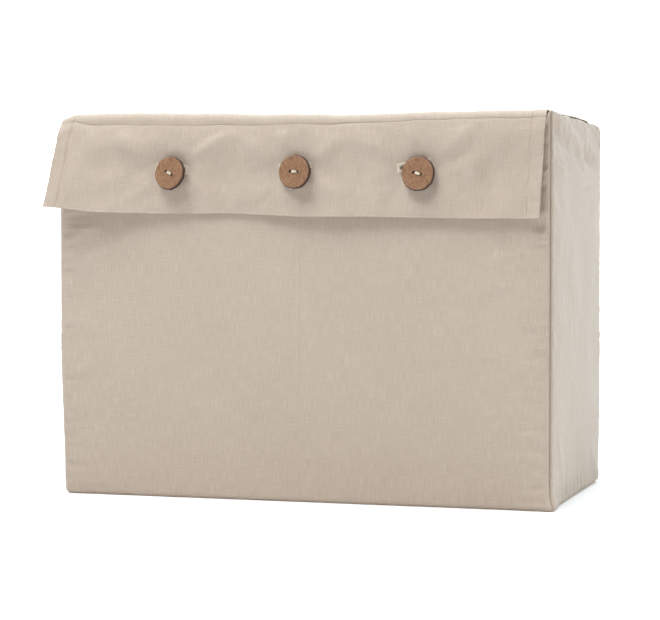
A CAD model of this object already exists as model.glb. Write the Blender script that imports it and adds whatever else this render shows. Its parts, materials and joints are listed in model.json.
import itertools
import json
import math
from functools import partial

import bpy
import numpy as np
from mathutils import Matrix, Vector


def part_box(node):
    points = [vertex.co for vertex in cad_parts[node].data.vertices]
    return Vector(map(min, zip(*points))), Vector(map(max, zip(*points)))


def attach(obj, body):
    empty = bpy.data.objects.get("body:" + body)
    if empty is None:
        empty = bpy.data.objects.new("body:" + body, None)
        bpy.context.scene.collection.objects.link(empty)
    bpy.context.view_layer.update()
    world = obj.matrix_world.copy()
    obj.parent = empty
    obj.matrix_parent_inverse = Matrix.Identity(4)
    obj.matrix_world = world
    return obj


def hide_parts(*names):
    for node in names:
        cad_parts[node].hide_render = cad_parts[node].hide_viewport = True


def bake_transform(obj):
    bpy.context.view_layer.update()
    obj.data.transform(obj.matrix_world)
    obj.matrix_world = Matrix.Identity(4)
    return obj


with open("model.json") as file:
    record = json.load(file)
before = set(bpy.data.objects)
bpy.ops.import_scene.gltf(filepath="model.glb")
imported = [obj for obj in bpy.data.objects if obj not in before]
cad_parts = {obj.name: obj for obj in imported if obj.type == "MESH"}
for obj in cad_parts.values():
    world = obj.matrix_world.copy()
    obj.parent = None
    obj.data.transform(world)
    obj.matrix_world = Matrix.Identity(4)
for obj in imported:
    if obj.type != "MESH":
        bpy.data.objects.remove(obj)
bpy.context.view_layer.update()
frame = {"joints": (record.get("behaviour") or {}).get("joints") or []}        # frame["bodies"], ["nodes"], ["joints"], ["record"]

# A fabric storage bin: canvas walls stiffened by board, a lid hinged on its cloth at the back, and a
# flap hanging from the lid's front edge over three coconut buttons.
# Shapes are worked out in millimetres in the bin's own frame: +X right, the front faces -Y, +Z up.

MM = 0.001
UP = np.array([0, 0, 1.0])


def extent(node):
    """Lowest and highest corner of a CAD node, in millimetres."""
    low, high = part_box(node)
    return np.array(low) / MM, np.array(high) / MM


def hinge_point(name):
    """Where a joint's axis lies, in millimetres."""
    return next(np.array(joint["pos_m"]) / MM for joint in frame["joints"] if joint["name"] == name)


# --- Sizes read from the CAD model ---

HALF_WIDTH = extent("bottom_panel")[1][0]
HALF_DEPTH = extent("bottom_panel")[1][1]
RIM = extent("front_panel")[1][2]
FACING_FOOT = extent("front_facing")[0][2]
BOARD_TOP = extent("front_board")[1][2]
LINING_FLOOR = extent("base_lining")[1][2]
LINING_HALF_WIDTH = extent("left_lining")[0][0] * -1
LINING_HALF_DEPTH = extent("back_lining")[1][1]
LID_LEFT, LID_RIGHT = extent("lid_panel")[0][0], extent("lid_panel")[1][0]
LID_FRONT = extent("lid_panel")[0][1]
LID_TOP = extent("lid_panel")[1][2]
LID_ROLL = LID_TOP - extent("lid_panel")[0][2]
LID_BOARD_TOP = extent("lid_board")[1][2]
LID_BOARD_FOOT = extent("lid_board")[0][2]
FOLD = hinge_point("flap_fold")
CAD_FOOT = extent("flap_panel")[0][2]
BUTTONS = ("left", "middle", "right")
BUTTON_AT = {side: sum(extent(f"{side}_button")) / 2 for side in BUTTONS}
SEWN_OFF = {"left": (0, 0.1, 0),        # hand sewing wanders off the CAD model's places
            "middle": (1.9, 0.1, 0),
            "right": (-1.1, 0.1, -2.4)}
SEWN_AT = {side: BUTTON_AT[side] + SEWN_OFF[side] for side in BUTTONS}
BUTTON_X = [SEWN_AT[side][0] for side in BUTTONS]
OVERSIZE = 1.03                         # turned shells come out a little over size
BUTTON_RADIUS = (extent("middle_button")[1][0] - extent("middle_button")[0][0]) / 2 * OVERSIZE

# --- Sizes of the cloth itself ---

EDGE = 4.5             # radius of the cloth over every edge of the bin
RIM_ROLL = 1.1         # radius of the cloth where it folds over the rim
CANVAS = 1.0           # thickness of the canvas
LINING = 0.7           # thickness of the lining
GROOVE = 1.3           # how far a seam pulls the cloth in
GROOVE_WIDTH = 0.65
SEAM_INSET = 0.55      # from the bottom of a seam's groove to the middle of its cord
CORD_RADIUS = 0.40     # of the seam allowance gathered behind a corner seam
CORD_GATHER = 0.14     # how much that swells at each gather
CORD_PITCH = 3.2
PUCKER = 1.2           # height of the small gathers beside a seam
PUCKER_START = 4.5     # how far from the seam they are at their full height
BASE_SHARE = 0.4       # depth of the seams along the base, as a share of the corner seams'
FINE = 0.45            # grid step of the walls near a seam or fold
COARSE = 2.2           # and on their flat parts
COARSENING = 0.16      # how fast the step grows away from a seam
FLAP_LENGTH = 74.0     # along the cloth, from the fold to the lower edge
FLAP_SKEW = 4.2        # how far the lower edge has slipped to the left
HEM = 10.5             # from the flap's side edge to its stitches
HEM_RISE = 0.35        # how far the doubled cloth of a hem stands up
HEM_DENT = 0.25        # how far its stitches pull it in
STITCH_PITCH = 3.0
STITCH_LENGTH = 2.1
STITCH_RADIUS = 0.26
BUTTON_LINE = FOLD[2] - BUTTON_AT["middle"][2]
SLIT_HALF = 11.3       # half the length of a buttonhole
SLIT_OPEN = 1.45       # half its opening
SLIT_SHIFT = {"left": -0.3, "middle": -1.4, "right": -4.3}    # from the button to the slit's middle
SLIT_RISE = {"left": 0.5, "middle": 2.4, "right": 5.0}        # its height above the button's middle
SLIT_TILT = {"left": -4.0, "middle": 3.0, "right": 9.0}       # degrees, rising to the right


# --- Small mathematical helpers ---

def smooth(value, low, high):
    """0 below low and 1 above high, eased between them; low may be above high."""
    part = np.clip((value - low) / (high - low), 0, 1)
    return part * part * (3 - 2 * part)


def bell(value, middle, width):
    return np.exp(-(((value - middle) / width) ** 2))


def ripples(seed, x, y, length, stretch=1.0, waves=22):
    """A soft random field of about unit height, whose waves are stretched along y."""
    dice = np.random.default_rng(seed)
    turns = dice.uniform(0, 2 * math.pi, waves)
    phases = dice.uniform(0, 2 * math.pi, waves)
    rates = dice.uniform(0.6, 1.7, waves) * 2 * math.pi / length
    total = 0
    for turn, phase, rate in zip(turns, phases, rates):
        total = total + np.cos(rate * (x * math.cos(turn) + y * math.sin(turn) / stretch) + phase)
    return total * math.sqrt(2 / waves) / 1.5


def crease(x, y, start, end, width, height, lean=0.0):
    """A ridge, or a valley where height is negative, that dies away at both ends.

    lean makes one flank steeper than the other.
    """
    run = np.array(end, float) - np.array(start, float)
    length = math.hypot(*run)
    ahead = ((x - start[0]) * run[0] + (y - start[1]) * run[1]) / length**2
    aside = ((x - start[0]) * run[1] - (y - start[1]) * run[0]) / length
    ends = smooth(ahead, -0.12, 0.3) * smooth(ahead, 1.12, 0.6)
    return height * ends * np.exp(-((aside / width) ** 2)) * (1 + lean * np.tanh(aside / width))


def creased(d, x, y, creases):
    """Adds creases, each given as in crease(), to a relief d."""
    for line in creases:
        d = d + crease(x, y, *line)
    return d


def spaced(low, high, fine, coarse, near, rate=0.12):
    """Positions from low to high, fine near the given places and coarse away from them."""
    found = [low]
    while found[-1] < high:
        step = fine + rate * min(abs(found[-1] - place) for place in near)
        found.append(found[-1] + min(step, coarse))
    found = np.array(found)
    return low + (found - low) * (high - low) / (found[-1] - low)


# --- Making meshes ---

def mesh_object(name, vertices, faces, weave=None):
    """A smooth mesh from vertices in millimetres. weave is each vertex's place on the flat cloth."""
    mesh = bpy.data.meshes.new(name)
    mesh.from_pydata((np.asarray(vertices) * MM).tolist(), [], [list(map(int, face)) for face in faces])
    mesh.polygons.foreach_set("use_smooth", [True] * len(mesh.polygons))
    if weave is not None:
        flat = np.zeros((len(vertices), 3), np.float32)
        flat[:, :2] = np.asarray(weave) * MM
        mesh.attributes.new("weave", "FLOAT_VECTOR", "POINT").data.foreach_set("vector", flat.ravel())
    mesh.validate()
    mesh.update()
    made = bpy.data.objects.new(name, mesh)
    bpy.context.scene.collection.objects.link(made)
    return made


def surface_normals(points):
    across = np.gradient(points, axis=0)
    along = np.gradient(points, axis=1)
    normals = np.cross(across, along)
    return normals / np.maximum(np.linalg.norm(normals, axis=2, keepdims=True), 1e-9)


def cloth(name, points, weave, thickness, flip=False, keep=None):
    """A sheet of cloth of real thickness. points is its outer face as a grid; keep leaves out faces."""
    rows, columns = points.shape[:2]
    sign = -1 if flip else 1
    inner = points - sign * surface_normals(points) * thickness
    index = np.arange(rows * columns).reshape(rows, columns)
    quads = np.stack([index[:-1, :-1], index[1:, :-1], index[1:, 1:], index[:-1, 1:]], axis=2)
    quads = quads.reshape(-1, 4) if keep is None else quads[keep]
    if flip:
        quads = quads[:, ::-1]
    edges = np.concatenate([quads[:, [i, (i + 1) % 4]] for i in range(4)])
    key = np.sort(edges, axis=1)
    _, first, count = np.unique(key, axis=0, return_index=True, return_counts=True)
    border = edges[first[count == 1]]
    depth = rows * columns
    sides = np.stack([border[:, 1], border[:, 0], border[:, 0] + depth, border[:, 1] + depth], axis=1)
    faces = np.concatenate([quads, quads[:, ::-1] + depth, sides])
    used, faces = np.unique(faces, return_inverse=True)
    faces = faces.reshape(-1, 4)
    vertices = np.concatenate([points.reshape(-1, 3), inner.reshape(-1, 3)])[used]
    flat = np.concatenate([weave.reshape(-1, 2)] * 2)[used]
    return mesh_object(name, vertices, faces, flat)


def tube(path, radius, sides=8):
    """Vertices and faces of a closed tube along path; radius is one number or one for each point."""
    path = np.asarray(path, float)
    radii = np.broadcast_to(radius, len(path))
    tangents = np.gradient(path, axis=0)
    tangents /= np.linalg.norm(tangents, axis=1, keepdims=True)
    aside = np.cross(tangents[0], [0.31, 0.77, 0.55])
    rings = []
    for point, tangent, r in zip(path, tangents, radii):
        aside = aside - tangent * np.dot(aside, tangent)
        aside /= np.linalg.norm(aside)
        up = np.cross(tangent, aside)
        angles = np.arange(sides) * 2 * math.pi / sides
        rings.append(point + r * (np.outer(np.cos(angles), aside) + np.outer(np.sin(angles), up)))
    vertices = np.concatenate(rings)
    faces = []
    for start in range(0, (len(path) - 1) * sides, sides):
        for j in range(sides):
            here, there = start + j, start + (j + 1) % sides
            faces.append([here, there, there + sides, here + sides])
    faces.append(list(range(sides))[::-1])
    faces.append([(len(path) - 1) * sides + j for j in range(sides)])
    return vertices, faces


def joined(name, parts):
    """One object from several (vertices, faces) parts."""
    vertices, faces, start = [], [], 0
    for points, polygons in parts:
        vertices.append(points)
        faces += [[i + start for i in polygon] for polygon in polygons]
        start += len(points)
    return mesh_object(name, np.concatenate(vertices), faces)


def stitch(middle, along, normal, length, radius, sink=0.25):
    """One short thread lying on the cloth, whose ends dive into it."""
    run = np.linspace(-1, 1, 7)
    lift = radius * 0.55 - (radius + sink) * np.abs(run) ** 3
    path = middle + np.outer(run * length / 2, along) + np.outer(lift, normal)
    return tube(path, radius * np.sqrt(np.maximum(1 - run**4, 0.12)), 6)


class Surface:
    """A grid of points over (across, down) that can be read anywhere."""

    def __init__(self, across, down, points, flip=False):
        self.across, self.down, self.points = across, down, points
        self.normals = surface_normals(points) * (-1 if flip else 1)

    def read(self, grid, u, v):
        i = int(np.clip(np.searchsorted(self.across, u) - 1, 0, len(self.across) - 2))
        j = int(np.clip(np.searchsorted(self.down, v) - 1, 0, len(self.down) - 2))
        a = (u - self.across[i]) / (self.across[i + 1] - self.across[i])
        b = (v - self.down[j]) / (self.down[j + 1] - self.down[j])
        near = grid[i, j] * (1 - b) + grid[i, j + 1] * b
        far = grid[i + 1, j] * (1 - b) + grid[i + 1, j + 1] * b
        return near * (1 - a) + far * a

    def at(self, u, v):
        return self.read(self.points, u, v)

    def frame(self, u, v, step=0.5):
        """The point, the directions across and down the cloth, and the way out of it."""
        across = self.at(u + 0.5, v) - self.at(u - 0.5, v)
        down = self.at(u, v + step) - self.at(u, v - step)
        normal = self.read(self.normals, u, v)
        return self.at(u, v), *(way / np.linalg.norm(way) for way in (across, down, normal))


# --- Materials ---

class Shade:
    """A few words for building a material out of shader nodes."""

    def __init__(self, name):
        self.material = bpy.data.materials.new(name)
        self.material.use_nodes = True
        self.tree = self.material.node_tree
        self.shader = self.tree.nodes["Principled BSDF"]

    def node(self, kind, settings=None, **inputs):
        made = self.tree.nodes.new(kind)
        for key, value in (settings or {}).items():
            setattr(made, key, value)
        for key, value in inputs.items():
            self.feed(made.inputs[key.replace("_", " ")], value)
        return made

    def feed(self, socket, value):
        if isinstance(value, bpy.types.NodeSocket):
            self.tree.links.new(value, socket)
        else:
            socket.default_value = value

    def math(self, operation, *values):
        made = self.tree.nodes.new("ShaderNodeMath")
        made.operation = operation
        for socket, value in zip(made.inputs, values):
            self.feed(socket, value)
        return made.outputs[0]

    def times(self, first, second):
        return self.math("MULTIPLY", first, second)

    def plus(self, first, second):
        return self.math("ADD", first, second)

    def place(self, attribute=None):
        if attribute:
            return self.node("ShaderNodeAttribute", {"attribute_name": attribute}).outputs["Vector"]
        return self.node("ShaderNodeTexCoord").outputs["Object"]

    def scaled(self, place, x, y, z):
        return self.node("ShaderNodeMapping", Vector=place, Scale=(x, y, z)).outputs[0]

    def noise(self, place, detail=3.0, roughness=0.55):
        made = self.node("ShaderNodeTexNoise", Vector=place, Scale=1.0, Detail=detail, Roughness=roughness)
        return made.outputs["Fac"]

    def ranged(self, value, low, high, bottom, top):
        made = self.node("ShaderNodeMapRange", Value=value)
        for socket, number in zip(list(made.inputs)[1:5], (low, high, bottom, top)):
            socket.default_value = number
        return made.outputs[0]

    def mix(self, factor, first, second, blend="MIX"):
        made = self.tree.nodes.new("ShaderNodeMix")
        made.data_type = "RGBA"
        made.blend_type = blend
        for socket, value in zip((made.inputs[0], made.inputs[6], made.inputs[7]), (factor, first, second)):
            self.feed(socket, value)
        return made.outputs[2]

    def bumped(self, height, distance, strength=1.0):
        made = self.node("ShaderNodeBump", Height=height, Distance=distance, Strength=strength)
        return made.outputs[0]

    def finish(self, colour, roughness, normal=None, **constants):
        self.feed(self.shader.inputs["Base Color"], colour)
        self.feed(self.shader.inputs["Roughness"], roughness)
        if normal is not None:
            self.feed(self.shader.inputs["Normal"], normal)
        for key, value in constants.items():
            self.shader.inputs[key.replace("_", " ")].default_value = value
        return self.material


def woven(name, pale, light, dark, pitch, slub, relief):
    """Plain-woven cloth: threads over and under, thick slubs both ways, blotches and a soft fuzz.

    pitch and relief are in millimetres, and slub is the share of streaks against blotches.
    """
    shade = Shade(name)
    place = shade.place("weave")
    parts = shade.node("ShaderNodeSeparateXYZ", Vector=place)
    rate = math.pi / (pitch * MM)
    warp = shade.math("SINE", shade.times(parts.outputs[0], rate))
    weft = shade.math("SINE", shade.times(parts.outputs[1], rate))
    checks = shade.times(warp, weft)
    upright = shade.noise(shade.scaled(place, 1250, 85, 1), 3.0, 0.5)
    level = shade.noise(shade.scaled(place, 75, 1250, 1), 3.0, 0.5)
    fibre = shade.noise(shade.scaled(place, 1500, 1500, 1), 3.0)
    blotch = shade.noise(shade.scaled(place, 14, 11, 1), 3.0, 0.6)
    streaks = shade.plus(shade.times(upright, 0.62), shade.times(level, 0.38))
    tone = shade.plus(shade.times(streaks, slub), shade.times(blotch, 1 - slub))
    colour = shade.mix(shade.ranged(tone, 0.37, 0.63, 0, 1), dark, light)
    thick = shade.math("MAXIMUM", shade.ranged(upright, 0.60, 0.72, 0, 1),
                       shade.ranged(level, 0.62, 0.74, 0, 1))
    colour = shade.mix(shade.times(thick, 0.35), colour, pale)
    speck = shade.ranged(fibre, 0.3, 0.7, 0.94, 1.06)
    specks = shade.node("ShaderNodeCombineColor", Red=speck, Green=speck, Blue=speck).outputs[0]
    colour = shade.mix(1.0, colour, specks, "MULTIPLY")
    height = shade.plus(shade.times(checks, 0.18), shade.times(streaks, 1.5))
    height = shade.plus(height, shade.times(fibre, 0.4))
    rough = shade.ranged(streaks, 0.3, 0.7, 0.82, 0.94)
    return shade.finish(colour, rough, shade.bumped(height, relief * MM, 0.8),
                        Sheen_Weight=0.3, Sheen_Roughness=0.4, Specular_IOR_Level=0.25)


def thread(name, dark, light, rate, relief):
    """Twisted thread: rate is how fine the twist is, and relief its height in millimetres."""
    shade = Shade(name)
    twist = shade.noise(shade.scaled(shade.place(), rate, rate, rate), 3.0)
    colour = shade.mix(shade.ranged(twist, 0.3, 0.7, 0, 1), dark, light)
    return shade.finish(colour, 0.85, shade.bumped(twist, relief * MM), Sheen_Weight=0.1)


def board_material():
    """Grey-brown pulp board with darker flecks."""
    shade = Shade("stiffening_board")
    place = shade.place()
    pulp = shade.noise(shade.scaled(place, 420, 420, 420), 5.0, 0.7)
    flecks = shade.noise(shade.scaled(place, 1500, 1500, 1500), 2.0)
    tone = shade.plus(shade.times(pulp, 0.7), shade.times(flecks, 0.3))
    colour = shade.mix(shade.ranged(tone, 0.35, 0.65, 0, 1), (0.27, 0.24, 0.20, 1), (0.43, 0.39, 0.34, 1))
    return shade.finish(colour, 0.92, shade.bumped(tone, 0.1 * MM))


def coconut_material():
    """Turned shell: brown with fine turning lines, pale and dark flecks, and bark left on the rim."""
    shade = Shade("coconut_button")
    place = shade.place()
    parts = shade.node("ShaderNodeSeparateXYZ", Vector=place)
    squares = [shade.math("POWER", parts.outputs[axis], 2.0) for axis in (0, 1)]
    radius = shade.math("SQRT", shade.plus(*squares))
    wander = shade.noise(shade.scaled(place, 260, 260, 260), 4.0, 0.65)
    turning = shade.plus(shade.times(radius, 5200.0), shade.times(wander, 9.0))
    lines = shade.math("SINE", turning)
    flecks = shade.noise(shade.scaled(place, 900, 420, 900), 4.0, 0.7)
    body = shade.mix(shade.ranged(flecks, 0.33, 0.68, 0, 1), (0.170, 0.084, 0.041, 1),
                     (0.385, 0.215, 0.118, 1))
    body = shade.mix(shade.ranged(lines, -1, 1, 0, 0.22), body, (0.200, 0.100, 0.055, 1))
    dark = shade.ranged(wander, 0.56, 0.70, 0, 0.5)
    body = shade.mix(dark, body, (0.150, 0.075, 0.045, 1))
    edge = shade.plus(shade.math("DIVIDE", radius, BUTTON_RADIUS * MM),
                      shade.times(wander, 0.14))
    rim = shade.ranged(edge, 0.995, 1.05, 0, 1)
    level = shade.plus(parts.outputs[2], shade.times(wander, 0.6 * MM))
    side = shade.ranged(level, 1.9 * MM, 1.4 * MM, 0, 1)
    bark = shade.times(shade.times(rim, side), 0.96)
    colour = shade.mix(bark, body, (0.045, 0.020, 0.018, 1))
    height = shade.plus(shade.times(lines, 0.25), flecks)
    rough = shade.ranged(flecks, 0.3, 0.7, 0.48, 0.72)
    return shade.finish(colour, rough, shade.bumped(height, 0.12 * MM), Specular_IOR_Level=0.4)


CANVAS_CLOTH = woven("beige_canvas", pale=(0.60, 0.525, 0.455, 1), light=(0.520, 0.442, 0.370, 1),
                     dark=(0.452, 0.376, 0.308, 1), pitch=0.8, slub=0.86, relief=0.2)
LINING_CLOTH = woven("cotton_lining", pale=(0.66, 0.59, 0.50, 1), light=(0.60, 0.53, 0.44, 1),
                     dark=(0.54, 0.465, 0.38, 1), pitch=0.6, slub=0.6, relief=0.09)
THREAD = thread("cotton_thread", dark=(0.56, 0.47, 0.36, 1), light=(0.84, 0.76, 0.64, 1),
                rate=1400, relief=0.12)
HEM_THREAD = thread("hem_thread", dark=(0.36, 0.28, 0.21, 1), light=(0.52, 0.42, 0.33, 1),
                    rate=1600, relief=0.08)
BOARD = board_material()
COCONUT = coconut_material()


def dressed(made, material, body, *replaced, slot=None):
    """Gives a piece its material, slot and body, and lets it stand for CAD nodes."""
    made.data.materials.clear()
    made.data.materials.append(material)
    if replaced:
        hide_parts(*replaced)
    if body:
        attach(made, body)


# --- The bin's walls and bottom ---

# Creases are start, end, width, height and lean, in millimetres along the wall and up it.
FRONT_CREASES = (
    ((-193, 188), (-146, 205), 5.5, 2.0, 0.5),
    ((-194, 176), (-160, 190), 4.0, 1.3, 0.4),
    ((-192, 212), (-165, 219), 4.0, 1.2, 0.3),
    ((-186, 164), (-158, 172), 9.0, -0.7),
    ((-194, 132), (-168, 139), 5.0, 1.0, 0.4),
    ((-194, 96), (-172, 101), 6.0, 0.9),
    ((138, 166), (176, 176), 5.0, 1.0, 0.4),
    ((150, 186), (188, 206), 5.0, 1.2, 0.4),
    ((166, 150), (192, 160), 5.0, 0.9, 0.3),
    ((0.5, 218), (-0.5, 70), 1.2, 0.45),        # a faint upright line in the middle
)
SIDE_CREASES = (                                # the first runs along the top of the board
    ((-103, BOARD_TOP + 3), (-52, BOARD_TOP - 3), 2.0, 1.3, 0.6),
    ((12, BOARD_TOP - 12), (62, BOARD_TOP - 7), 2.0, 0.6, 0.4),
    ((-98, 292), (-40, 276), 8.0, -1.7),
    ((-78, 298), (-44, 268), 5.0, 1.4, 0.4),
    ((-20, 292), (30, 268), 6.0, 1.0, 0.3),
    ((-92, 240), (-66, 228), 6.0, -0.8),
    ((-90, 60), (-60, 20), 6.0, 0.7, 0.3),
    ((60, 30), (98, 12), 6.0, 0.8, 0.3),
)
BACK_CREASES = (
    ((-190, 60), (-150, 82), 6.0, 0.7, 0.3),
    ((150, 226), (190, 206), 5.0, 0.7, 0.3),
)
LEFT_BULGE = 3.4              # how much fuller the left end is above than at its foot
CORNER_POKE = (3.2, 2.0)      # how far the lower front right corner stands out, to the right and forward
CORNER_TUCK = 5.0             # how far the lower back right one is pulled in
ARC = EDGE * math.pi / 4      # from a seam, which lies at 45 degrees on the edge, to the flat wall


def back_corner(x, y):
    """1 at the two top corners at the back, falling to 0 along the rim both ways."""
    return smooth(y, 62, 109) * smooth(np.abs(x), 140, 200)


def dome(x, y):
    """How far the lid's top stands above its flat board."""
    swell = 1.9 * smooth(y, -55, 25) * smooth(y, 112, 62) - 0.6 * bell(y, -72, 22)
    return swell + 0.25 * ripples(91, x, y, 110) * smooth(y, -98, -60) - 2.8 * back_corner(x, y) ** 1.4


def rim_sag(x, y, z):
    """How far the soft rim hangs below a straight line, most at the back corners.

    The right rim stands up beside the lid, and the left one lies close under it.
    """
    side = smooth(x, 194, 198.5)
    under_lid = smooth(x, -150, -190)
    rise = side * (3.4 + 0.3 * bell(y, 25, 50) - 1.0 * bell(y, -62, 16) + 0.6 * smooth(y, -75, -100))
    rise = rise + side * 1.0 * smooth(y, 66, 82) * smooth(y, 104, 90)
    rise = rise + 2.0 * smooth(y, 90, 106) * smooth(np.abs(x), 175, 120)
    rise = rise + 0.3 * ripples(3, x, y, 60) * (1 - under_lid) + under_lid * (dome(x, y) + 0.3)
    drop = 3.2 * back_corner(x, y) ** 1.4 + 9.0 * smooth(y, 97, 110) * smooth(np.abs(x), 186, 201)
    corner = drop * (1 - under_lid) + 1.5 * under_lid * smooth(y, 99, 109)
    return (corner - rise) * smooth(z, BOARD_TOP - 30, RIM)


def eased_out(points):
    """Lets the left end bulge, the lower front right corner poke out and the back right one tuck in."""
    x, z = points[..., 0], points[..., 2]
    y = points[..., 1]
    left = 0.9 + LEFT_BULGE * smooth(z, -10, 130)
    right = 1.2 + 1.5 * smooth(y, -50, HALF_DEPTH)
    tuck = CORNER_TUCK * smooth(x, 189, 200) * smooth(y, 60, HALF_DEPTH) * smooth(z, 55, 0)
    poke = smooth(z, 17, 0) ** 1.3 * smooth(x, 165, 200) * smooth(y, -70, -HALF_DEPTH)
    points[..., 0] = x - left * smooth(x, -150, -200) + right * smooth(x, 150, 200) + CORNER_POKE[0] * poke
    points[..., 1] -= tuck + CORNER_POKE[1] * poke
    return points


def seam_groove(from_edge):
    return -GROOVE * np.exp(-((from_edge / GROOVE_WIDTH) ** 2))


def puckers(seed, along, from_seam, reach=13.0):
    """Small gathers running out of a seam."""
    rows = ripples(seed, along, from_seam * 0.2, 12) + 0.6 * ripples(seed + 50, along, from_seam * 0.1, 6)
    near_seam = np.exp(-((from_seam / PUCKER_START) ** 2))
    return PUCKER * rows * np.exp(-from_seam / reach) * (1 - near_seam)


def front_shape(s, z):
    """The front's relief over the distance s along it and the height z; so for the other walls."""
    d = 1.1 * (1 - (s / HALF_WIDTH) ** 2) * smooth(z, 0, 90) * smooth(z, 330, 150)
    d += 0.30 * ripples(11, s, z, 150) + 0.07 * ripples(12, s, z, 34, 1.6)
    d = creased(d, s, z, FRONT_CREASES)
    return d + 0.9 * smooth(z, BOARD_TOP, BOARD_TOP + 16) * ripples(13, s, z, 55)


def side_shape(seed, from_front, s, z):
    """A side wall: crowned below, soft and crumpled above the top of its board.

    from_front is 1 where s runs towards the back, and -1 where it runs towards the front.
    """
    d = 1.9 * (1 - (s / HALF_DEPTH) ** 2) * smooth(z, 0, 80) * smooth(z, 300, 190)
    d += 0.35 * ripples(seed, s, z, 90) + 0.08 * ripples(seed + 1, s, z, 24, 1.8)
    soft = smooth(z, BOARD_TOP - 2, BOARD_TOP + 8)
    d += soft * (-1.1 + 0.8 * ripples(seed + 2, s / 2.6, z, 26) + 0.35 * ripples(seed + 3, s / 2.2, z, 12))
    return creased(d, from_front * s, z, SIDE_CREASES)


def back_shape(s, z):
    d = 1.3 * (1 - (s / HALF_WIDTH) ** 2) * smooth(z, 0, 90) * smooth(z, 330, 150)
    d += 0.35 * ripples(31, s, z, 130) + 0.08 * ripples(32, s, z, 30, 1.6)
    d = creased(d, s, z, BACK_CREASES)
    return d + 0.7 * smooth(z, BOARD_TOP, BOARD_TOP + 20) * ripples(33, s, z, 60)


SIDES = {                     # the direction along each wall, seen from outside, and the way out of it
    "front": ((1, 0, 0), (0, -1, 0)),
    "right": ((0, 1, 0), (1, 0, 0)),
    "back": ((-1, 0, 0), (0, 1, 0)),
    "left": ((0, -1, 0), (-1, 0, 0))}


def side_frame(name, half_width, half_depth):
    """Directions along a wall and out of it, half its width and its distance from the bin's middle."""
    tangent, outward = (np.array(way, float) for way in SIDES[name])
    if name in ("front", "back"):
        return tangent, outward, half_width, half_depth
    return tangent, outward, half_depth, half_width


def wall(name, shape, seed, pull):
    """A wall from the base seam up over the rim and down inside as its facing.

    pull is how hard the two corner seams gather it.
    """
    tangent, outward, half, reach = side_frame(name, HALF_WIDTH, HALF_DEPTH)
    straight = half - EDGE
    side = straight + ARC
    rise = RIM - EDGE - RIM_ROLL
    rim_at = ARC + rise
    length = rim_at + math.pi * RIM_ROLL + RIM - RIM_ROLL - FACING_FOOT
    middle = [0.0] if half == HALF_WIDTH else []        # fine enough for the line in the middle
    s = spaced(-side, side, FINE, COARSE, [-side, side] + middle, COARSENING)
    v = spaced(0, length, FINE, COARSE, [0, rim_at + 1.5 * RIM_ROLL, ARC + BOARD_TOP - EDGE], COARSENING)
    s, v = np.meshgrid(s, v, indexing="ij")

    tuck = np.clip((ARC - v) / EDGE, 0, None)
    turn = np.clip((v - rim_at) / RIM_ROLL, 0, math.pi)
    height = EDGE + np.clip(v - ARC, 0, rise) + RIM_ROLL * np.sin(turn)
    height = height - np.clip(v - rim_at - math.pi * RIM_ROLL, 0, None)
    inset = RIM_ROLL * (1 - np.cos(turn))
    lean = np.sign(s) * np.tan(np.clip((np.abs(s) - straight) / EDGE, 0, None))
    normal = tangent * lean[..., None] + outward - UP * np.tan(tuck)[..., None]
    normal = normal / np.linalg.norm(normal, axis=2, keepdims=True)
    core = tangent * np.clip(s, -straight, straight)[..., None] + outward * (reach - EDGE)
    core = core + UP * height[..., None]

    from_seam, from_base = side - np.abs(s), v
    inside_edges = smooth(from_seam, 0.5, 9) * smooth(from_base, 0.5, 10)
    d = shape(s, height) * inside_edges + seam_groove(from_seam) + BASE_SHARE * seam_groove(from_base)
    first, second = puckers(seed, height, from_seam), puckers(seed + 7, height, from_seam)
    d += pull * (first * (s < 0) + second * (s > 0))
    d += 0.6 * puckers(seed + 9, s, from_base, 9)
    points = core + (EDGE - inset + d)[..., None] * normal
    points[..., 2] -= rim_sag(points[..., 0], points[..., 1], height)
    made = cloth(f"{name}_cloth", eased_out(points), np.stack([s, v], axis=2), CANVAS)
    dressed(made, CANVAS_CLOTH, "bin", f"{name}_panel", f"{name}_facing")


wall("front", front_shape, 101, 1.0)
wall("right", partial(side_shape, 21, 1), 111, 0.45)
wall("back", back_shape, 121, 0.45)
wall("left", partial(side_shape, 22, -1), 131, 0.45)


def bottom():
    """The bottom panel, sewn to the walls at 45 degrees on every lower edge."""
    grids = []
    for half in (HALF_WIDTH, HALF_DEPTH):
        side = half - EDGE + ARC
        grids.append(spaced(-side, side, FINE, 4.0, [-side, side], COARSENING))
    s, t = np.meshgrid(*grids, indexing="ij")
    leans = []
    for value, half in ((s, HALF_WIDTH), (t, HALF_DEPTH)):
        leans.append(np.sign(value) * np.tan(np.clip((np.abs(value) - half + EDGE) / EDGE, 0, None)))
    normal = np.stack([leans[0], leans[1], -np.ones_like(s)], axis=2)
    normal = normal / np.linalg.norm(normal, axis=2, keepdims=True)
    core = np.stack([np.clip(s, EDGE - HALF_WIDTH, HALF_WIDTH - EDGE),
                     np.clip(t, EDGE - HALF_DEPTH, HALF_DEPTH - EDGE), np.full_like(s, EDGE)], axis=2)
    edges = [half - EDGE + ARC - np.abs(value) for value, half in ((s, HALF_WIDTH), (t, HALF_DEPTH))]
    d = BASE_SHARE * (seam_groove(edges[0]) + seam_groove(edges[1]))
    d += (1 - BASE_SHARE) * seam_groove(np.maximum(*edges))
    away = smooth(np.minimum(*edges), 4, 22)
    d -= away * (0.25 + 0.15 * ripples(41, s, t, 60))
    points = core + (EDGE + d)[..., None] * normal
    made = cloth("bottom_cloth", eased_out(points), np.stack([s, t], axis=2), CANVAS, flip=True)
    dressed(made, CANVAS_CLOTH, "bin", "bottom_panel")


bottom()


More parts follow.
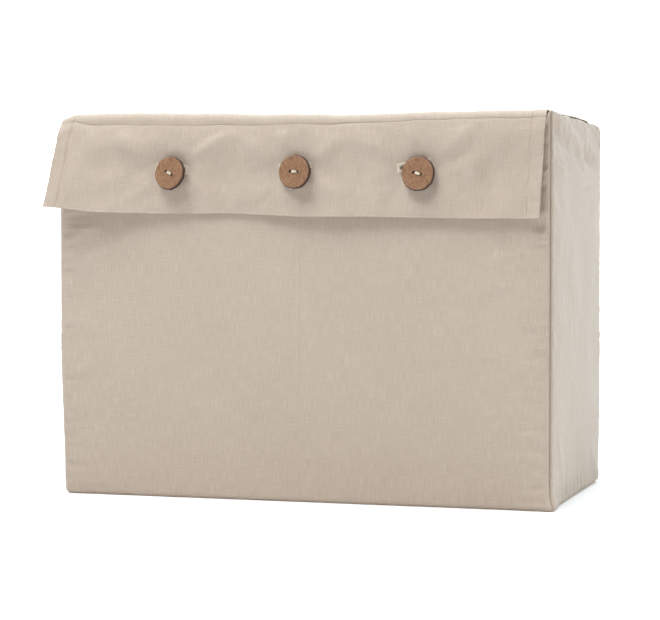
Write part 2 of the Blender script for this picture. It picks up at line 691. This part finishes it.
def corner_seams():
    """The gathered seam allowance and its thread, just inside each upright corner seam."""
    reach = (EDGE - GROOVE - SEAM_INSET) / math.sqrt(2)
    corners = itertools.product((("front", -1), ("back", 1)), (("left", -1), ("right", 1)))
    for (depth_name, y_side), (width_name, x_side) in corners:
        name = f"{depth_name}_{width_name}"
        z = np.arange(EDGE + 0.5, RIM - 1.5, 0.9)
        x = x_side * (HALF_WIDTH - EDGE + reach) + 0 * z
        y = y_side * (HALF_DEPTH - EDGE + reach) + 0 * z
        path = eased_out(np.stack([x, y, z - rim_sag(x, y, z)], axis=1))
        gathers = CORD_RADIUS + CORD_GATHER * np.sin(z * 2 * math.pi / CORD_PITCH)
        cord = joined(f"{name}_seam_cord", [tube(path, gathers, 8)])
        dressed(cord, HEM_THREAD, "bin", f"{name}_seam", slot="beige_canvas")


corner_seams()


def wall_linings():
    """The linings of the walls, which lean out above the boards to meet the facing."""
    for seed, name in enumerate(SIDES):
        tangent, outward, half, reach = side_frame(name, LINING_HALF_WIDTH, LINING_HALF_DEPTH)
        s = spaced(-1, 1, 0.004, 0.016, [-1, 1], 0.12)
        z = spaced(LINING_FLOOR, RIM - 5, 1.0, 3.2, [LINING_FLOOR, RIM - 5, BOARD_TOP], 0.12)
        s, z = np.meshgrid(s, z, indexing="ij")
        lean = 1.4 * smooth(z, BOARD_TOP, FACING_FOOT + 12)
        slack = smooth(1 - np.abs(s), 0, 0.05) * smooth(z, LINING_FLOOR, 30)
        hollow = 0.7 + 0.5 * ripples(60 + seed, s * half, z, 80)
        hollow = hollow + 0.15 * ripples(70 + seed, s * half, z, 22)
        d = lean - slack * hollow
        points = tangent * (s * (half + lean))[..., None] + outward * (reach + d)[..., None]
        points = points + UP * z[..., None]
        points[..., 2] -= rim_sag(points[..., 0], points[..., 1], z)
        made = cloth(f"{name}_wall_lining", points, np.stack([s * half, z], axis=2), LINING)
        dressed(made, LINING_CLOTH, "bin", f"{name}_lining")


def base_lining():
    """The lining of the base, a little slack on its board."""
    low, high = extent("base_lining")
    x, y = np.meshgrid(np.linspace(low[0], high[0], 140), np.linspace(low[1], high[1], 80), indexing="ij")
    edge = np.minimum(high[0] - np.abs(x), high[1] - np.abs(y))
    z = high[2] + smooth(edge, 0, 20) * (0.25 + 0.2 * ripples(81, x, y, 70))
    made = cloth("base_floor_lining", np.stack([x, y, z], axis=2), np.stack([x, y], axis=2), LINING)
    dressed(made, LINING_CLOTH, "bin", "base_lining")


wall_linings()
base_lining()


# --- The lid ---

ROLL_Y = LID_FRONT + LID_ROLL            # the middle of the rolled front edge
ROLL_Z = LID_TOP - LID_ROLL
HINGE_ROLL = 4.0                         # radius of the cloth over the back top edge
HINGE_Y = HALF_DEPTH + 1.5
HINGE_FOOT = LID_TOP - 11.0


def front_lift(x):
    """How far the lid's soft front edge rides up at the left end and sags in the middle."""
    line = 3.7 * smooth(x, 30, -160) - 0.6 * bell(x, 45, 60) - 4.0 * smooth(x, LID_LEFT + 13, LID_LEFT - 1)
    return line + 0.25 * ripples(92, x, 0 * x, 70)


def fold_line(x):
    """Point of the fold at each x, how far round the roll it lies, and how far below the roll."""
    below = 5.9 + 3.9 * smooth(x, 160, -110) - 5.2 * smooth(x, LID_LEFT + 34, LID_LEFT - 4)
    below = below + 0.3 * ripples(94, x, 0 * x, 45)
    steepest = math.cos(math.radians(82))
    turn = np.arccos(np.maximum(1 - below / LID_ROLL, steepest))
    drop = np.clip(below - LID_ROLL * (1 - steepest), 0, None)
    return ROLL_Y - LID_ROLL * np.sin(turn), LID_TOP - below + front_lift(x), turn, drop


def fold_depth(x):
    """How deeply the fold is pressed in, sharper towards the right end."""
    return 0.12 + 0.12 * smooth(x, -20, 120) + 0.08 * ripples(96, x, 0 * x, 30)


def hem_relief(edge):
    """How far a side hem stands up and its stitches dent it, at a distance from the cloth's edge."""
    return HEM_RISE * smooth(edge, HEM + 0.6, HEM - 1.2), HEM_DENT * bell(edge, HEM, 0.9)


def lid_sheet(x, v):
    """The lid's outer face. v runs from the fold at the front to the hem on the back wall."""
    _, _, turn, drop = fold_line(x)
    roll = turn * LID_ROLL
    flat = HINGE_Y - HINGE_ROLL - ROLL_Y
    over = HINGE_ROLL * math.pi / 2
    rest = LID_TOP - HINGE_ROLL - HINGE_FOOT
    at = v * (drop + roll + flat + over + rest)
    up = np.clip(at, 0, drop)
    angle = turn - np.clip(at - drop, 0, roll) / LID_ROLL
    back = np.clip(at - drop - roll, 0, flat)
    bend = np.clip(at - drop - roll - flat, 0, over) / HINGE_ROLL
    down = np.clip(at - drop - roll - flat - over, 0, None)
    y = ROLL_Y - LID_ROLL * np.sin(angle) + back + HINGE_ROLL * np.sin(bend)
    z = ROLL_Z - drop + up + LID_ROLL * np.cos(angle) - HINGE_ROLL * (1 - np.cos(bend)) - down
    return y, z + front_lift(x) * smooth(y, -30, ROLL_Y), at


def lid():
    """The lid's canvas, from the fold over its rolled front edge and back to the hinge."""
    hems = [LID_LEFT, LID_RIGHT, LID_LEFT + HEM, LID_RIGHT - HEM]
    x_line = spaced(LID_LEFT, LID_RIGHT, 0.5, 2.4, hems, COARSENING)
    v_line = np.concatenate([np.linspace(0, 0.07, 36)[:-1], np.linspace(0.07, 0.93, 100)[:-1],
                             np.linspace(0.93, 1, 36)])
    x, v = np.meshgrid(x_line, v_line, indexing="ij")
    y, z, at = lid_sheet(x, v)
    z = z + dome(x, y) * smooth(y, ROLL_Y - 4, ROLL_Y + 10) * smooth(y, HINGE_Y + 1, HINGE_Y - 4)
    z = z + (dome(x, y) + 0.4) * (y > HINGE_Y - 4) * smooth(y, HINGE_Y - 4, HINGE_Y + 1) * 0.4
    edge = np.minimum(x - LID_LEFT, LID_RIGHT - x)
    z = z - 0.3 * smooth(edge, 5, 0) * smooth(y, ROLL_Y - 2, ROLL_Y + 10)
    points = np.stack([x, y, z], axis=2)
    normals = surface_normals(points)
    hem, dent = hem_relief(edge)
    fold_groove = -fold_depth(x) * np.exp(-((at / 0.8) ** 2))
    crumple = 0.16 * ripples(93, x, at, 26) * smooth(at, 0, 4) * smooth(at, 30, 12)
    points = points + normals * (hem - dent + fold_groove + crumple)[..., None]
    made = cloth("lid_cloth", points, np.stack([x, at], axis=2), CANVAS)
    dressed(made, CANVAS_CLOTH, None, "lid_panel")
    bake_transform(made)
    return Surface(x_line, v_line, points)


lid_face = lid()


def lid_inside():
    """The lid's board, and the lining under it, whose edges turn up to the canvas."""
    for name, top, thickness, margin, material, node in (
            ("lid_stiffener", LID_BOARD_TOP, LID_BOARD_TOP - LID_BOARD_FOOT, 9.0, BOARD, "lid_board"),
            ("lid_underside", LID_BOARD_FOOT, LINING, 3.5, LINING_CLOTH, "lid_lining")):
        low = (LID_LEFT + margin, ROLL_Y + 2)
        high = (LID_RIGHT - margin, HALF_DEPTH - 8)
        x, y = np.meshgrid(spaced(low[0], high[0], 1.0, 5.0, [low[0], high[0]]),
                           spaced(low[1], high[1], 1.0, 4.0, [low[1], high[1]]), indexing="ij")
        z = top + np.minimum(dome(x, y), 3.0) + front_lift(x) * smooth(y, -30, ROLL_Y)
        if material == LINING_CLOTH:
            edge = np.minimum(np.minimum(x - low[0], high[0] - x), np.minimum(y - low[1], high[1] - y))
            z = z + (LID_TOP - CANVAS - top - 0.3) * smooth(edge, 5, 0)
            z = z - 0.12 * (1 + ripples(95, x, y, 60)) * smooth(edge, 6, 20)
        made = cloth(name, np.stack([x, y, z], axis=2), np.stack([x, y], axis=2), thickness)
        dressed(made, material, "lid", node)


lid_inside()


# --- The flap ---

CORNER_OUT = 10.5          # how far the lower left corner swings out
CORNER_FLARE = 6.2         # and how far it spreads to the left
DIMPLE = 1.8               # how far a button presses the cloth in
DIMPLE_REACH = 15.0
FLAP_CREASES = (           # start, end, width and height, along the flap and down it from the fold
    ((-88, 30), (-52, 8), 4.5, 0.9), ((-118, 30), (-150, 10), 5.5, 0.8),         # round the left button
    ((-90, 46), (-58, 66), 5.0, 0.7), ((-118, 47), (-140, 68), 5.0, 0.6),
    ((14, 30), (40, 10), 5.0, 0.9), ((-18, 30), (-44, 9), 5.0, 0.9),             # round the middle one
    ((14, 46), (50, 62), 5.0, 0.8), ((-16, 47), (-36, 64), 4.0, 0.5),
    ((116, 31), (146, 6), 5.5, 1.0), ((84, 30), (58, 12), 5.0, 0.8),             # round the right one
    ((116, 46), (150, 30), 6.0, 0.8), ((84, 47), (62, 66), 4.5, 0.6),
    ((114, 50), (128, 70), 4.0, 0.5),
    ((-8, 20), (-12, 4), 3.0, 0.4), ((96, 20), (92, 5), 3.0, 0.4),               # up to the fold
)


def held(x):
    """1 where a button holds the flap in, 0 between the buttons."""
    return np.clip(sum(bell(x, button, 24) for button in BUTTON_X), 0, 1)


def left_corner(x):
    """0 at the left button, rising to 1 past the flap's free left end."""
    return smooth(x, -88, -205) ** 1.3


def flap_standoff(x, t):
    """How far the flap stands in front of its fold line, at each distance t down the cloth.

    It stands off at the fold, is drawn in at the buttons, swings out at its left corner and waves
    a little along its lower edge.
    """
    share = t / FLAP_LENGTH
    free = 1 - held(x)
    d = (2.9 + 1.2 * free) * (1 - np.exp(-t / 9.0)) + 0.2 * share
    near_left = smooth(x, 5, -40) * smooth(x, -150, -115)
    flat = smooth(x, LID_LEFT + 5, LID_LEFT + 80)
    d -= (0.3 + 2.6 * free) * flat * smooth(t, 9, BUTTON_LINE + 2)
    lower = smooth(t, BUTTON_LINE + 2, FLAP_LENGTH + 14)
    d += (0.2 + 0.9 * free) * flat * (1 - 1.5 * near_left) * lower
    d -= 1.0 * smooth(x, LID_LEFT + 15, LID_LEFT) * smooth(t, 2, 25)
    d += CORNER_OUT * left_corner(x) * share**0.95
    d += 2.6 * bell(x, 48, 40) * smooth(t, 20, FLAP_LENGTH + 8)
    d += 1.0 * bell(x, 150, 34) * smooth(t, 30, FLAP_LENGTH)
    d += 1.8 * smooth(x, 160, 196) * share
    d += 1.0 * bell(x, -150, 20) * bell(t, 16, 9) - 1.3 * bell(x, -158, 22) * bell(t, 34, 13)
    d += 1.3 * bell(x, -66, 16) * bell(t, 17, 10) + 1.4 * bell(x, 42, 22) * bell(t, 15, 9)
    d -= 1.2 * bell(x, 165, 14) * bell(t, 40, 18)
    return d


def flap_foot(x):
    """Height of the flap's lower edge, which the free left corner carries up."""
    line = 1.9 * smooth(x, 170, 30) + 3.1 * smooth(x, 25, -65) + 1.1 * smooth(x, -100, -160)
    return CAD_FOOT + 0.6 + line + 4.6 * smooth(x, -148, -204)


def flap_folds(x, t):
    """Creases that run out of the buttons and the fold, and the cloth's own small crumples."""
    d = 0.75 * ripples(211, x, t, 36) * smooth(t, 3, 12) + 0.10 * ripples(212, x, t, 12)
    for start, end, width, height in FLAP_CREASES:
        d = d + 2.5 * crease(x, t, start, end, 1.25 * width, height, 0.3)
    for button in BUTTON_X:
        from_button = np.hypot((x - button) / 1.1, t - BUTTON_LINE)
        d = d - DIMPLE * np.exp(-((from_button / DIMPLE_REACH) ** 2))
    return d


def flap_grid(x, t, inset=0.0):
    """The flap's outer face over the flat cloth's x and the distance t down from the fold."""
    fold_y, fold_z, _, _ = fold_line(x)
    step = np.gradient(flap_standoff(x, t), axis=1) / np.gradient(t, axis=1)
    fall = np.sqrt(np.clip(1 - step**2, 0.25, 1))
    gaps = np.diff(t, axis=1) * (fall[:, 1:] + fall[:, :-1]) / 2
    drop = np.concatenate([np.zeros_like(t[:, :1]), np.cumsum(gaps, axis=1)], axis=1)
    drop = drop / drop[:, -1:] * (fold_z - flap_foot(x))
    share = t / FLAP_LENGTH
    flare = CORNER_FLARE * left_corner(x) * share
    points = [x - FLAP_SKEW * share - flare, fold_y - flap_standoff(x, t), fold_z - drop]
    points = np.stack(points, axis=2)
    normals = -surface_normals(points)
    edge = np.minimum(x - LID_LEFT, LID_RIGHT - x)
    hem, dent = hem_relief(edge)
    lift = flap_folds(x, t) + hem - dent
    lift += 0.3 * smooth(t, FLAP_LENGTH - 1.0, FLAP_LENGTH) - fold_depth(x) * np.exp(-((t / 0.8) ** 2))
    lift += 0.35 * ripples(213, t, 0 * t, 12) * smooth(edge, 14, 0) * smooth(t, 2, 12)
    return points + normals * (lift - inset)[..., None]


FLAP_X = spaced(LID_LEFT, LID_RIGHT, 0.5, 1.9,
                [LID_LEFT, LID_RIGHT, LID_LEFT + HEM, LID_RIGHT - HEM] + BUTTON_X, 0.09)
FLAP_T = spaced(0, FLAP_LENGTH, 0.3, 1.5, [0, FLAP_LENGTH, BUTTON_LINE], 0.10)


def slit_of(side):
    """Middle of a buttonhole on the flat flap, and its tilt in radians."""
    line = FOLD[2] - SEWN_AT[side][2] - SLIT_RISE[side]
    middle = SEWN_AT[side][0] + SLIT_SHIFT[side] + FLAP_SKEW * line / FLAP_LENGTH
    return middle, line, math.radians(SLIT_TILT[side])


def slit_mask(x_line, t_line):
    """Which faces of a grid stay once the three buttonholes are cut."""
    x = (x_line[:-1] + x_line[1:])[:, None] / 2
    t = (t_line[:-1] + t_line[1:])[None, :] / 2
    keep = np.ones((len(x_line) - 1, len(t_line) - 1), bool)
    for side in BUTTONS:
        middle, line, tilt = slit_of(side)
        along = (x - middle) * math.cos(tilt) - (t - line) * math.sin(tilt)
        aside = (x - middle) * math.sin(tilt) + (t - line) * math.cos(tilt)
        keep &= (np.abs(along) > SLIT_HALF) | (np.abs(aside) > SLIT_OPEN)
    return keep


def fold_over(piece):
    """Lets a piece of the flap bend along the fold and not break there."""
    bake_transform(piece)


def flap():
    """The flap's canvas and the lining behind it, both cut by the buttonholes."""
    x, t = np.meshgrid(FLAP_X, FLAP_T, indexing="ij")
    points = flap_grid(x, t)
    made = cloth("flap_cloth", points, np.stack([x, -t], axis=2), CANVAS, flip=True,
                 keep=slit_mask(FLAP_X, FLAP_T))
    dressed(made, CANVAS_CLOTH, None, "flap_panel")
    inner_x, inner_t = FLAP_X[2:-2], FLAP_T[4:-3]
    x, t = np.meshgrid(inner_x, inner_t, indexing="ij")
    behind = flap_grid(x, t, CANVAS + 0.1)
    back = cloth("flap_backing", behind, np.stack([x, -t], axis=2), LINING, flip=True,
                 keep=slit_mask(inner_x, inner_t))
    dressed(back, LINING_CLOTH, None, "flap_lining")
    for piece in (made, back):
        fold_over(piece)
    return Surface(FLAP_X, FLAP_T, points, flip=True)


flap_face = flap()


def hem_stitches(side, x):
    """The row of stitches down one side hem of the flap, and its run on over the lid's rolled edge."""
    rows = [flap_face.frame(x, t) for t in np.arange(1.6, FLAP_LENGTH - 1.5, STITCH_PITCH)]
    rows += [lid_face.frame(x, v, 0.002) for v in np.linspace(0.006, 0.036, 4)]
    parts = [stitch(point, down, normal, STITCH_LENGTH, STITCH_RADIUS) for point, _, down, normal in rows]
    made = joined(f"{side}_hem_thread", parts)
    dressed(made, HEM_THREAD, None, f"{side}_hem_stitches")
    fold_over(made)


hem_stitches("left", LID_LEFT + HEM)
hem_stitches("right", LID_RIGHT - HEM)


def buttonhole(side):
    """A horizontal buttonhole: close stitches all round the slit and a bar of thread at each end."""
    middle, line, tilt = slit_of(side)
    parts = []
    dice = np.random.default_rng(300 + BUTTONS.index(side))

    def sew(along, aside, across_slit, length, radius):
        """One stitch, placed along and aside of the slit's own line."""
        x = middle + along * math.cos(tilt) + aside * math.sin(tilt)
        t = line - along * math.sin(tilt) + aside * math.cos(tilt)
        point, across, down, normal = flap_face.frame(x, t)
        run = down * math.cos(tilt) + across * math.sin(tilt)
        if not across_slit:
            run = across * math.cos(tilt) - down * math.sin(tilt)
        parts.append(stitch(point + normal * 0.1, run, normal, length, radius))

    for place in np.arange(-SLIT_HALF + 0.3, SLIT_HALF, 0.72):
        for way in (-1, 1):
            along = place + dice.uniform(-0.1, 0.1)
            sew(along, way * (SLIT_OPEN + 1.15), True, 2.9 + dice.uniform(-0.2, 0.4), 0.4)
    for end in (-1, 1):
        for aside in np.arange(-3.2, 3.21, 0.64):
            along = end * (SLIT_HALF + 0.9 + dice.uniform(-0.3, 0.3))
            sew(along, aside, False, 2.6 + dice.uniform(-0.2, 0.7), 0.42)
    dressed(joined(f"{side}_purl_stitches", parts), THREAD, "flap", f"{side}_buttonhole")


for side in BUTTONS:
    buttonhole(side)


# --- The buttons ---

SPIN = {"left": -26, "middle": -4, "right": -16}          # degrees round its own face
TIP = {"left": 3.0, "middle": 0.0, "right": -1.0}         # degrees its face leans up
TURN = {"left": -10.0, "middle": -6.0, "right": -3.0}     # degrees its face turns to the left
HANG = 6.0             # degrees by which the flap leans every button
HOLE_APART = 2.9       # from the middle of the button to a hole
HOLE_RADIUS = 1.3
DISC_SIDES = 120
DISC_RADIUS = 12.5     # of the outline below, before it is scaled to the button
DISC_OUTLINE = (       # radius and height, from the middle of the face round the rim to the back
    (0.02, 1.25), (2.0, 1.25), (4.0, 1.28), (6.5, 1.34), (8.6, 1.42), (9.8, 1.55), (10.7, 1.74),
    (11.4, 1.86), (11.9, 1.80), (12.2, 1.55), (12.45, 0.9), (12.7, 0.1), (12.9, -0.7), (12.9, -1.4),
    (12.4, -2.1), (9.0, -2.3), (5.0, -2.4), (0.02, -2.4))
STRAND_AT = HOLE_APART - 0.85      # where a strand goes down its hole, towards the middle
STRAND_RADIUS = 0.31
SHANK_TURNS = 40                   # radians wound from the button to the wall


def button_place(side):
    """The button's own frame, as sewn: z out of its face, x along its two holes."""
    lean = Matrix.Rotation(math.radians(90 - HANG - TIP[side]), 4, "X")
    spin = Matrix.Rotation(math.radians(SPIN[side]), 4, "Z")
    turn = Matrix.Rotation(math.radians(TURN[side]), 4, "Z")
    return Matrix.Translation(Vector(SEWN_AT[side] * MM)) @ turn @ lean @ spin


def coconut_disc(side):
    """A turned disc with a raised rim, its edge left slightly out of round."""
    seed = 400 + BUTTONS.index(side)
    angles = np.arange(DISC_SIDES) * 2 * math.pi / DISC_SIDES
    across, up = np.cos(angles), np.sin(angles)
    rings = []
    for r, z in DISC_OUTLINE:
        share = r / DISC_RADIUS
        rough = 0.012 * ripples(seed, across * 10, up * 10, 7)
        rough = 1 + share**6 * (rough + 0.008 * ripples(seed + 9, across * 10, up * 10, 2.2))
        height = z + share**4 * 0.10 * ripples(seed + 5, across * 10, up * 10, 4)
        radius = r * rough * BUTTON_RADIUS / DISC_RADIUS
        rings.append(np.stack([across * radius, up * radius, height], axis=1))
    vertices = np.concatenate(rings)
    faces = []
    for start in range(0, len(vertices) - DISC_SIDES, DISC_SIDES):
        for j in range(DISC_SIDES):
            here, there = start + j, start + (j + 1) % DISC_SIDES
            faces.append([there, here, here + DISC_SIDES, there + DISC_SIDES])
    faces.append(list(range(DISC_SIDES)))
    faces.append([len(vertices) - 1 - j for j in range(DISC_SIDES)])
    disc = mesh_object(f"{side}_coconut_disc", vertices, faces)
    for way in (-1, 1):
        bpy.ops.mesh.primitive_cylinder_add(vertices=32, radius=HOLE_RADIUS * MM, depth=12 * MM,
                                            location=(way * HOLE_APART * MM, 0, 0))
        drill = bpy.context.object
        cut = disc.modifiers.new("hole", "BOOLEAN")
        cut.operation = "DIFFERENCE"
        cut.solver = "EXACT"
        cut.object = drill
        bpy.context.view_layer.objects.active = disc
        bpy.ops.object.modifier_apply(modifier="hole")
        bpy.data.objects.remove(drill, do_unlink=True)
    disc.matrix_world = button_place(side)
    dressed(disc, COCONUT, f"{side}_button", f"{side}_button")


def button_thread(side):
    """Strands over the bridge between the holes, and the wound shank behind the button."""
    parts = []
    for k, offset in enumerate((-0.6, -0.2, 0.2, 0.6)):
        run = np.linspace(-1, 1, 17)
        x = run * STRAND_AT
        rise = (0.55 + 0.12 * (k % 2)) * np.sqrt(np.maximum(1 - run**6, 0))
        z = 1.2 + rise - 1.6 * smooth(np.abs(run), 0.8, 1.0)
        y = offset * (0.7 + 0.7 * np.cos(run * math.pi / 2)) + 0.05 * np.sin(run * 7 + k)
        parts.append(tube(np.stack([x, y, z], axis=1), STRAND_RADIUS, 8))
    for way in (-1, 1):
        for offset in (-0.3, 0.3):
            z = np.linspace(0.4, -2.2, 8)
            x = way * STRAND_AT * (1 - 0.55 * smooth(z, -0.6, -2.2))
            parts.append(tube(np.stack([x, offset + 0 * z, z], axis=1), 0.22, 8))
    through = SLIT_RISE[side] - SLIT_SHIFT[side] * math.sin(math.radians(SLIT_TILT[side]))
    foot = Vector((SEWN_AT[side][0], -HALF_DEPTH - 0.9, SEWN_AT[side][2] + through)) * MM
    foot = np.array(button_place(side).inverted() @ foot) / MM
    run = np.linspace(0, 1, SHANK_TURNS * 3)
    aside = smooth(run, 0.0, 0.35)
    shank = np.stack([foot[0] * aside, foot[1] * aside, -2.3 + (foot[2] + 2.3) * run], axis=1)
    wind = np.stack([np.cos(run * SHANK_TURNS) * 0.35, np.sin(run * SHANK_TURNS) * 0.35, 0 * run], axis=1)
    parts.append(tube(shank + wind, 0.22, 6))
    parts.append(tube(shank[::12], 0.35, 10))
    made = joined(f"{side}_button_thread", parts)
    made.matrix_world = button_place(side)
    dressed(made, THREAD, f"{side}_button", f"{side}_thread")


for side in BUTTONS:
    coconut_disc(side)
    button_thread(side)


# --- The boards inside the walls ---

def board(node):
    """A cut board with eased corners, a little shorter than its pocket."""
    low, high = extent(node)
    trim = np.where(high - low > 10, 3.5, 0.55)        # at its edges, and off each face
    corners = list(itertools.product(*zip(low + trim, high - trim)))
    faces = [(0, 1, 3, 2), (4, 6, 7, 5), (0, 4, 5, 1), (2, 3, 7, 6), (0, 2, 6, 4), (1, 5, 7, 3)]
    made = mesh_object(f"{node}_cut", corners, faces)
    ease = made.modifiers.new("ease", "BEVEL")
    ease.width = 0.6 * MM
    ease.segments = 2
    dressed(made, BOARD, "bin", node)


for node in ("front_board", "back_board", "left_board", "right_board", "base_board"):
    board(node)


# --- Floor, light and camera ---

WORLD = (1, 0.97, 0.93, 1)
WORLD_STRENGTH = 0.19
LAMPS = (          # name, place, what it is aimed at, size in metres, power in watts, colour
    ("overhead", (-0.45, -0.85, 2.0), (0, 0, 0.2), 1.1, 43, (1, 1, 1)),
    ("top", (0.3, 0.5, 2.1), (0, 0, 0.25), 1.0, 33, (0.78, 0.92, 1)),
    ("right", (2.3, -0.7, 0.9), (0, 0, 0.15), 1.4, 9, (1, 0.92, 0.79)))
VIEW_ANGLE = 18.79                      # across the picture, in degrees
CAMERA_AT = (0.4793, -1.5950, 0.2026)
CAMERA_DOWN = 1.881                     # degrees below level
CAMERA_LEFT = 16.954                    # degrees to the left of straight ahead


def screen(name, place, tip, roughness, glow):
    """A pale plane, tipped up by an angle, that glows a little to keep itself white."""
    bpy.ops.mesh.primitive_plane_add(size=8, location=place, rotation=(math.radians(tip), 0, 0))
    plane = bpy.context.object
    plane.name = name
    pale = bpy.data.materials.new(name)
    pale.use_nodes = True
    shader = pale.node_tree.nodes["Principled BSDF"]
    shader.inputs["Base Color"].default_value = (0.9, 0.9, 0.9, 1)
    shader.inputs["Roughness"].default_value = roughness
    shader.inputs["Emission Color"].default_value = (1, 1, 1, 1)
    shader.inputs["Emission Strength"].default_value = glow
    plane.data.materials.append(pale)
    return plane


def lamp(name, place, aim, size, power, colour):
    light = bpy.data.lights.new(name, "AREA")
    light.size = size
    light.energy = power
    light.color = colour
    made = bpy.data.objects.new(name, light)
    made.location = place
    made.rotation_euler = (Vector(aim) - Vector(place)).to_track_quat("-Z", "Y").to_euler()
    bpy.context.scene.collection.objects.link(made)
    return made


def stage():
    """A pale floor and backdrop, a dim warm world and three soft lamps."""
    floor = screen("floor", (0, -1.2, 0), 0, 0.9, 0.13)
    backdrop = screen("backdrop", (0, 2.6, 3.9), 90, 0.5, 0.9)
    world = bpy.data.worlds.new("studio")
    world.use_nodes = True
    world.node_tree.nodes["Background"].inputs["Color"].default_value = WORLD
    world.node_tree.nodes["Background"].inputs["Strength"].default_value = WORLD_STRENGTH
    bpy.context.scene.world = world
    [lamp(*row) for row in LAMPS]
    bpy.context.scene.view_settings.view_transform = "Standard"


stage()

camera = bpy.data.cameras.new("camera")
camera.sensor_fit = "HORIZONTAL"
camera.angle = math.radians(VIEW_ANGLE)
eye = bpy.data.objects.new("camera", camera)
eye.location = CAMERA_AT
eye.rotation_euler = (math.radians(90 - CAMERA_DOWN), 0, math.radians(CAMERA_LEFT))
bpy.context.scene.collection.objects.link(eye)
bpy.context.scene.camera = eye
